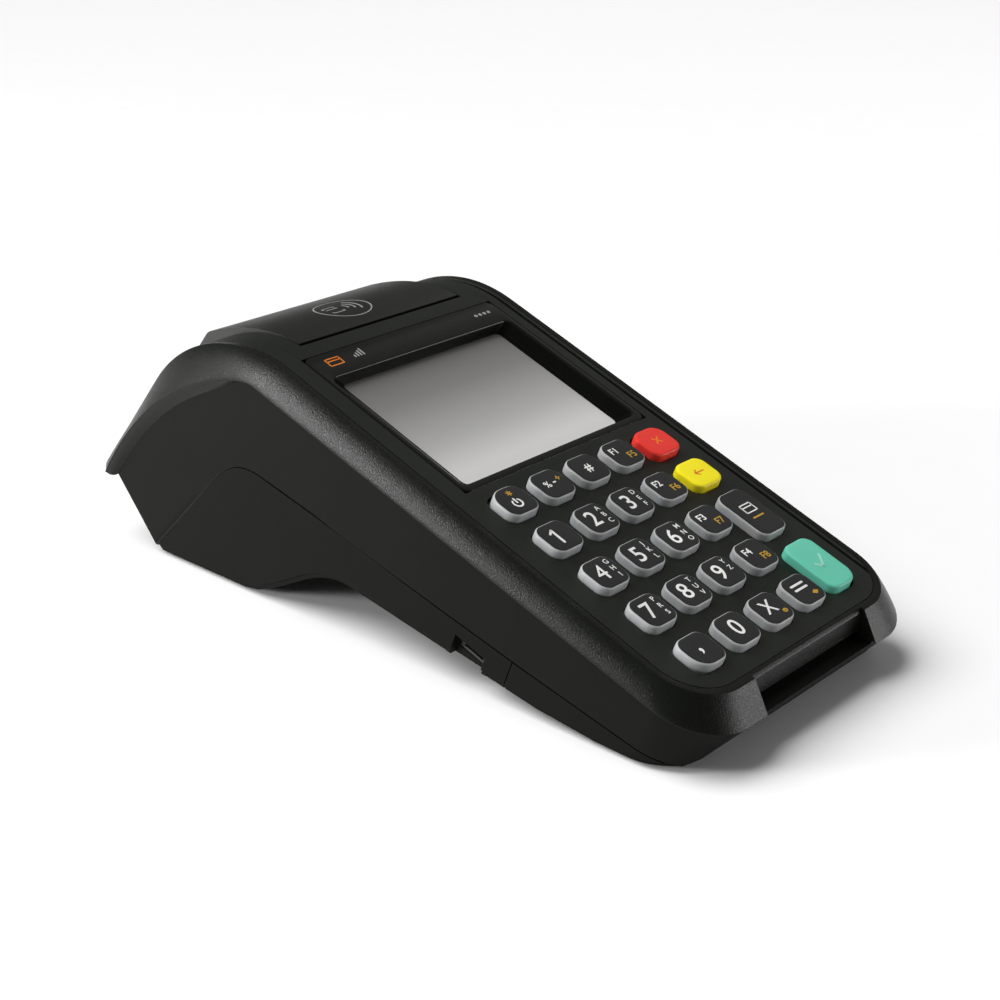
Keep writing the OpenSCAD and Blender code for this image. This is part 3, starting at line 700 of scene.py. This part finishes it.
def flat_piece(name, polygons, z, place=DECK):
    """Thin printed mark made of closed outlines standing on a surface at height z."""
    verts, faces = [], []
    for outline in polygons:
        base, n = len(verts), len(outline)
        verts += [(px, py, z) for px, py in outline]
        verts += [(px, py, z + PRINT_T) for px, py in outline]
        faces.append(tuple(base + i for i in range(n))[::-1])
        faces.append(tuple(base + n + i for i in range(n)))
        faces += [(base + i, base + (i + 1) % n, base + n + (i + 1) % n, base + n + i)
                  for i in range(n)]
    return add_mesh(name, verts, faces, place)


def stroke(a, b, width):
    """Outline of a bar with round ends from a to b."""
    dx, dy = b[0] - a[0], b[1] - a[1]
    length = hypot(dx, dy) or 1
    ux, uy = dx / length, dy / length
    points = []
    for centre, first in ((b, -90), (a, 90)):
        for i in range(7):
            t = radians(first + 30 * i)
            points.append((centre[0] + width / 2 * (ux * cos(t) - uy * sin(t)),
                           centre[1] + width / 2 * (uy * cos(t) + ux * sin(t))))
    return points


def ring_strokes(centre, rx, ry, width, a0=0, a1=360, steps=28):
    """Quads that follow an arc, as one strip of closed outlines."""
    points = []
    for side in (1, -1):
        run = range(steps + 1) if side > 0 else range(steps, -1, -1)
        for i in run:
            t = radians(mix(a0, a1, i / steps))
            points.append((centre[0] + (rx + side * width / 2) * cos(t),
                           centre[1] + (ry + side * width / 2) * sin(t)))
    return points


def text_outline(text, size, x, y, weight):
    """Characters as a thin solid mesh centred on x, y on a key's crown."""
    curve = bpy.data.curves.new("glyph", "FONT")
    curve.body = text
    curve.size = size
    curve.align_x = "CENTER"
    curve.align_y = "CENTER"
    curve.extrude = PRINT_T / 2
    curve.offset = weight
    curve.resolution_u = 4
    holder = bpy.data.objects.new("glyph", curve)
    bpy.context.scene.collection.objects.link(holder)
    graph = bpy.context.evaluated_depsgraph_get()
    mesh = bpy.data.meshes.new_from_object(holder.evaluated_get(graph))
    bpy.data.objects.remove(holder)
    mesh.transform(DECK @ Matrix.Translation((x, y, CROWN + PRINT_T / 2)))
    return mesh


def merge(name, meshes):
    """One object from several meshes that are already in place."""
    bm = bmesh.new()
    for mesh in meshes:
        bm.from_mesh(mesh)
    bmesh.ops.remove_doubles(bm, verts=bm.verts, dist=1e-6)
    bmesh.ops.recalc_face_normals(bm, faces=bm.faces)
    mesh = bpy.data.meshes.new(name)
    bm.to_mesh(mesh)
    bm.free()
    obj = bpy.data.objects.new(name, mesh)
    bpy.context.scene.collection.objects.link(obj)
    return obj


def marks(body, x, y, texts=(), shapes=(), colour="print_white"):
    """The printed marks of one colour on one key."""
    meshes = [text_outline(t, size, x + dx, y + dy, weight)
              for t, size, dx, dy, weight in texts]
    if shapes:
        part = flat_piece("shape", [[(x + px, y + py) for px, py in s] for s in shapes], CROWN)
        meshes.append(part.data)
        bpy.data.objects.remove(part)
    obj = merge(f"{body}_{colour}", meshes)
    return finish(obj, body, "key_dark", [colour])


def digit_marks(body, x, y, digit, letters):
    """A digit with its column of letters; the one is drawn with a flag."""
    texts = [(c, LETTER, 3.4, 2.9 - 2.8 * i, 0.01) for i, c in enumerate(letters)]
    shapes = []
    if digit == "1":
        shapes = [stroke((-0.9, -2.6), (-0.9, 2.6), 0.85), stroke((-0.95, 2.6), (-2.4, 1.5), 0.7)]
    else:
        weight = 0.0 if digit == "4" else 0.06
        texts.insert(0, (digit, DIGIT, -1.4, 0.0, weight))
    marks(body, x, y, texts, shapes)


def keypad():
    """All 24 keys and their printing."""
    def place(col, row):
        return COLUMNS[col], -ROW * row

    for row, line in enumerate(GRID_KEYS):
        for col, name in enumerate(line):
            x, y = place(col, row)
            key_cap(name, x, y, KEY_W, KEY_H, CORNERS.get(name, (KEY_R,) * 4), "key_dark")
    for name, (y, h, slot) in RIGHT_KEYS.items():
        key_cap(name, RIGHT_X, y, RIGHT_W, h, CORNERS.get(name, (KEY_R,) * 4), slot)

    letters = ["", "ABC", "DEF", "GHI", "JKL", "MNO", "PRS", "TUV", "YZ"]
    for n in range(1, 10):
        x, y = place((n - 1) % 3, (n - 1) // 3 + 1)
        digit_marks(f"key_{n}", x, y, str(n), letters[n - 1])
    for n in range(1, 5):
        x, y = place(3, n - 1)
        marks(f"key_f{n}", x, y, [(f"F{n}", 3.6, -2.5, 1.6, 0.05)])
        marks(f"key_f{n}", x, y, [(f"F{n + 4}", 3.6, 2.2, -1.9, 0.04)], colour="print_gold")
    x, y = place(1, 4)
    marks("key_0", x, y, [("0", DIGIT, 0, 0, 0.06)])
    x, y = place(0, 4)
    marks("key_comma", x, y, [(",", 7.5, -0.6, 1.6, 0.12)])
    x, y = place(2, 4)
    marks("key_x", x, y, [("X", 7.0, -0.6, 0.4, 0.03)])
    marks("key_x", x, y, shapes=[ring_strokes((3.3, -2.8), 0.75, 0.55, 0.4)],
          colour="print_gold")
    x, y = place(3, 4)
    marks("key_total", x, y, shapes=[stroke((-3.2, dy), (2.2, dy), 0.75) for dy in (2.2, 0.4)])
    marks("key_total", x, y, colour="print_gold",
          shapes=[[(1.2, -2.6), (2.6, -1.7), (4.0, -2.6), (2.6, -3.5)]])
    x, y = place(0, 0)
    marks("key_power", x, y, shapes=[ring_strokes((-0.3, -1.3), 1.55, 1.55, 0.55, 125, 415),
                                     stroke((-0.3, -1.2), (-0.3, 0.6), 0.55)])
    marks("key_power", x, y, colour="print_gold",
          shapes=[stroke((0.4 - 0.9 * cos(a), 2.9 - 0.9 * sin(a)),
                         (0.4 + 0.9 * cos(a), 2.9 + 0.9 * sin(a)), 0.38)
                  for a in (radians(30), radians(90), radians(150))])
    x, y = place(1, 0)
    marks("key_percent", x, y, [("%", 3.4, -2.0, 0.1, 0.04)],
          [stroke((0.6, 0.2), (1.4, 0.2), 0.5)])
    marks("key_percent", x, y, colour="print_gold",
          shapes=[stroke((2.7, 1.2), (4.1, 1.2), 0.42), stroke((3.4, 0.5), (3.4, 1.9), 0.42)])
    x, y = place(2, 0)
    marks("key_plu", x, y, [("#", 4.6, 0, 0, 0.08)])
    marks("key_cancel", RIGHT_X, RIGHT_KEYS["key_cancel"][0], colour="print_orange",
          shapes=[stroke((-1.2, -1.2), (1.2, 1.2), 0.5), stroke((-1.2, 1.2), (1.2, -1.2), 0.5)])
    marks("key_clear", RIGHT_X, RIGHT_KEYS["key_clear"][0], colour="print_orange",
          shapes=[stroke((-2.0, 0), (2.0, 0), 0.5), stroke((-2.0, 0), (-0.8, 1.1), 0.5),
                  stroke((-2.0, 0), (-0.8, -1.1), 0.5)])
    tall_y = RIGHT_KEYS["key_tall"][0]
    marks("key_tall", RIGHT_X, tall_y, shapes=card_glyph(0, 1.6, 5.0, 3.4, 0.42))
    marks("key_tall", RIGHT_X, tall_y, shapes=[stroke((-2.4, -2.4), (2.4, -2.4), 0.6)],
          colour="print_gold")
    marks("key_enter", RIGHT_X, RIGHT_KEYS["key_enter"][0], colour="print_mint",
          shapes=[stroke((-2.4, 0.2), (-0.7, -1.7), 0.75), stroke((-0.7, -1.7), (2.6, 2.4), 0.75)])


def card_glyph(x, y, w, h, line):
    """Plain outline of a card with a stripe, as bars of one width."""
    x0, x1, y0, y1 = x - w / 2, x + w / 2, y - h / 2, y + h / 2
    return [stroke((x0, y0), (x1, y0), line), stroke((x1, y0), (x1, y1), line),
            stroke((x1, y1), (x0, y1), line), stroke((x0, y1), (x0, y0), line),
            stroke((x0, y + h * 0.14), (x1, y + h * 0.14), line)]


# ---------- marks on the housing ----------

def housing_marks():
    """Plain signs beside the display."""
    spots = {
        "mark_card": (-32.5, 75.3, card_glyph(0, 0, 5.4, 3.2, 0.4), "print_orange"),
        "mark_bars": (-22.5, 75.6, [stroke((dx, -1.1), (dx, -1.1 + 0.7 * i), 0.6)
                                    for i, dx in enumerate((-1.8, -0.6, 0.6, 1.8), 1)],
                      "print_grey"),
        "mark_dots": (33.6, 75.2, [ring_strokes((dx, 0), 0.35, 0.35, 0.6)
                                   for dx in (-3.0, -1.0, 1.0, 3.0)], "print_grey"),
    }
    for name, (x, y, shapes, colour) in spots.items():
        part = flat_piece(name, [[(x + px, y + py) for px, py in s] for s in shapes], 0.0)
        tidy_mesh(part)
        finish(part, "housing", "bezel_gloss", [colour])


COVER_HALF = 35.5
COVER_T = 2.2
COVER_CURVE = [(88, -1.1), (100, -2.6), (112.5, -9.2), (124.5, -19.9)]
COVER_END = -64.6
PLATEN_C = (91.5, -11.5)
HINGE_C = (131.5, -60.0)
MARK_RUN = 14.5


def cover_line():
    """Outer side line of the cover: a long curve, a tight ridge and the straight rear."""
    curve = [bezier(COVER_CURVE, i / 28) for i in range(28)]
    ridge = COVER_CURVE[-1]
    before = curve[-1]
    after = tuple(r + 1.2 * d for r, d in zip(ridge, VISOR_DIR))
    bend = [mix(mix(before, ridge, t), mix(ridge, after, t), t) for t in (0.25, 0.5, 0.75, 1)]
    drop = (after[1] - COVER_END) / -VISOR_DIR[1]
    foot = (after[0] + drop * VISOR_DIR[0], COVER_END)
    return curve + bend + [mix(after, foot, i / 12) for i in range(1, 13)]


def inwards(line, depth):
    """A side line moved inwards by depth."""
    moved = []
    for i, (y, z) in enumerate(line):
        a, b = line[max(0, i - 1)], line[min(len(line) - 1, i + 1)]
        run = hypot(b[0] - a[0], b[1] - a[1])
        moved.append((y + depth * (b[1] - a[1]) / run, z - depth * (b[0] - a[0]) / run))
    return moved


def disc(centre, r, steps=40):
    """Outline of a circle."""
    return [(centre[0] + r * cos(2 * pi * i / steps), centre[1] + r * sin(2 * pi * i / steps))
            for i in range(steps)]


def around(centre, *offsets):
    """Outline given by offsets from a centre."""
    return [(centre[0] + dy, centre[1] + dz) for dy, dz in offsets]


def paper_cover():
    """The lid over the paper roll, with its skirts, platen ears and hinge knuckles."""
    line = cover_line()
    lid = prism("paper_lid", line + inwards(line, COVER_T)[::-1], -COVER_HALF, COVER_HALF)
    skirt = line[2:-4]
    outlines = [(inwards(skirt, 1) + inwards(skirt, 5.2)[::-1],
                 COVER_HALF - 1.4, COVER_HALF - 0.02),
                (disc(PLATEN_C, 3.2), 29.2, 30.8),
                (around(PLATEN_C, (-2.6, 0), (-1.5, 8.2), (8, 5.6), (3, -0.5)), 29.2, 30.8),
                (disc(HINGE_C, 3.2), 28, 33.2),
                (around(HINGE_C, (0, 3.1), (2.8, 6), (4.6, -0.5), (2, -2.4)), 28, 33.2)]
    for sign in (-1, 1):
        for outline, x0, x1 in outlines:
            low, high = sorted((sign * x0, sign * x1))
            combine(lid, prism("rib", outline, low, high), "UNION")
    for centre, r, reach in ((PLATEN_C, 1.55, 40), (HINGE_C, 1.55, 40), (PLATEN_C, 5.5, 28.9)):
        combine(lid, prism("bore", disc(centre, r), -reach, reach), "DIFFERENCE")
    finish(lid, "cover", "cover_black", stands_for=["paper_cover"])
    soften(lid, 0.3)


def cover_mark():
    """Tap symbol of plain design on the paper cover: a ring, a card and three arcs."""
    shapes = [ring_strokes((0, 0), 9.4, 9.0, 0.4, steps=48)]
    shapes += card_glyph(-3.9, 0, 4.6, 6.0, 0.45)
    shapes += [ring_strokes((-0.6, 0), r, r * 1.2, 0.5, -40, 40, 10) for r in (2.2, 4.2, 6.2)]
    part = flat_piece("cover_mark", shapes, 0.0, place=Matrix())
    line = cover_line()
    runs = [0.0]
    for a, b in zip(line, line[1:]):
        runs.append(runs[-1] + hypot(b[0] - a[0], b[1] - a[1]))
    raised = inwards(line, -1)
    for vertex in part.data.vertices:
        px, py, pz = vertex.co
        run = MARK_RUN + py
        k = max(i for i, r in enumerate(runs) if r <= run)
        t = (run - runs[k]) / (runs[k + 1] - runs[k])
        base = mix(line[k], line[k + 1], t)
        above = mix(raised[k], raised[k + 1], t)
        y, z = mix(base, above, pz + 0.01)
        vertex.co = DECK @ Vector((px - 2.6, y, z))
    tidy_mesh(part)
    finish(part, "cover", "cover_black", ["print_grey"])


# ---------- CAD nodes that are shown as they are ----------

CAD_SLOTS = {
    # the lower housing and battery cover take the painted-shade copy of the shell's black
    "lower_housing": ("shell_lower", 0.3), "battery_cover": ("shell_lower", 0.3),
    "front_feet": ("foot_rubber", 0.3), "rear_feet": ("foot_rubber", 0.3),
    "top_panel": ("panel_black", 0.18),
    "display_window": ("display_glass", 0.1), "lcd_module": ("lcd_metal", 0.15),
    "key_mat": ("silicone", 0.1), "keypad_board": ("board_green", 0.1),
    "card_reader": ("inner_plastic", 0.2), "chip_contacts": ("contact_gold", 0.08),
    "swipe_track": ("inner_plastic", 0.15), "mag_head": ("steel", 0.15),
    "main_board": ("board_green", 0.1), "printer_frame": ("inner_plastic", 0.2),
    "thermal_head": ("heat_aluminium", 0.15), "printer_motor": ("steel", 0.3),
    "drive_gear": ("gear_plastic", 0.08), "platen_roller": ("platen_rubber", 0.2),
    "platen_gear": ("gear_plastic", 0.08), "paper_roll": ("thermal_paper", 0.2),
    "cover_hinge_pin": ("steel", 0.2),
    "printer_surround": ("panel_black", 0.18), "tear_bar": ("steel", 0.05),
    "battery_pack": ("battery_blue", 0.8), "battery_contacts": ("contact_gold", 0.1),
    "port_socket": ("inner_plastic", 0.2), "contactless_antenna": ("antenna_copper", 0.1),
    "speaker": ("inner_plastic", 0.2), "sim_socket": ("steel", 0.15),
    "coin_cell": ("steel", 0.3), "housing_screws": ("steel", 0.15),
}


def dress_cad():
    """Materials and soft edges for the CAD nodes that show as they are."""
    for name, (slot, bevel) in CAD_SLOTS.items():
        obj = NODES[name]
        obj.data.materials.clear()
        obj.data.materials.append(MATERIALS[slot])
        soften(obj, bevel)


# ---------- stage ----------

def area_light(name, place, target, size, power, colour=(1, 1, 1)):
    """A soft rectangular card of light aimed at a target."""
    light = bpy.data.lights.new(name, "AREA")
    light.shape = "RECTANGLE"
    light.size, light.size_y = size
    light.energy = power
    light.color = colour
    obj = bpy.data.objects.new(name, light)
    obj.location = place
    obj.rotation_euler = (Vector(target) - Vector(place)).to_track_quat("-Z", "Y").to_euler()
    bpy.context.scene.collection.objects.link(obj)
    return obj


def studio():
    """Pale floor, dim world, a soft sun for diffuse light and three soft cards."""
    scene = bpy.context.scene
    world = bpy.data.worlds.new("studio")
    scene.world = world
    world.use_nodes = True
    background = world.node_tree.nodes["Background"]
    background.inputs["Color"].default_value = (1, 1, 1, 1)
    background.inputs["Strength"].default_value = 0.12

    half = 6.0
    floor = add_mesh("floor", [(-half, -half, 0), (half, -half, 0), (half, half, 0),
                               (-half, half, 0)], [(0, 1, 2, 3)], Matrix())
    floor.data.materials.append(moulded("floor_paper", (0.9, 0.9, 0.9), 0.9, 400, 0.02,
                                        specular=0.1, vary=0.005))

    sun = bpy.data.lights.new("sky_soft", "SUN")
    sun.energy = 3.4
    sun.angle = radians(50)
    lamp = bpy.data.objects.new("sky_soft", sun)
    lamp.rotation_euler = Vector((-0.35, 0.45, 0.82)).to_track_quat("Z", "Y").to_euler()
    lamp.visible_glossy = False
    scene.collection.objects.link(lamp)

    area_light("left_band", (-0.92, 0.61, 0.25), (-0.05, 0.05, 0.05), (0.28, 0.2), 9)
    area_light("front_fill", (0.8, -0.9, 0.2), (0, -0.1, 0.04), (0.4, 0.25), 4)
    area_light("top_card", (1.12, 0.3, 1.0), (0, 0, 0.05), (1.0, 1.0), 0.6)


def view_camera():
    """Camera to the front left of the terminal, from its own right, up and back axes."""
    camera = bpy.data.cameras.new("camera")
    camera.lens = 67.33
    camera.sensor_width = 36
    obj = bpy.data.objects.new("camera", camera)
    right = Vector((0.6525, -0.7574, 0.0251))
    up = Vector((0.2830, 0.2743, 0.9191))
    back = Vector((-0.7030, -0.5926, 0.3932))
    turn = Matrix((right, up, back)).transposed().to_4x4()
    obj.matrix_world = Matrix.Translation((-0.4009, -0.3429, 0.2557)) @ turn
    bpy.context.scene.collection.objects.link(obj)
    bpy.context.scene.camera = obj


# ---------- build ----------

shell = upper_housing()
finish(shell, "housing", "shell_black", ["shell_black", "shell_wall_painted_shade"], ["upper_housing"])
# paints shade on the walls under the shoulder's edge, the front wall and the hump's rear face
darken_walls(shell)
smooth(shell, 30)
display_bezel()
keypad()
housing_marks()
paper_cover()
cover_mark()
dress_cad()
studio()
view_camera()
bpy.context.scene.view_settings.view_transform = "Standard"
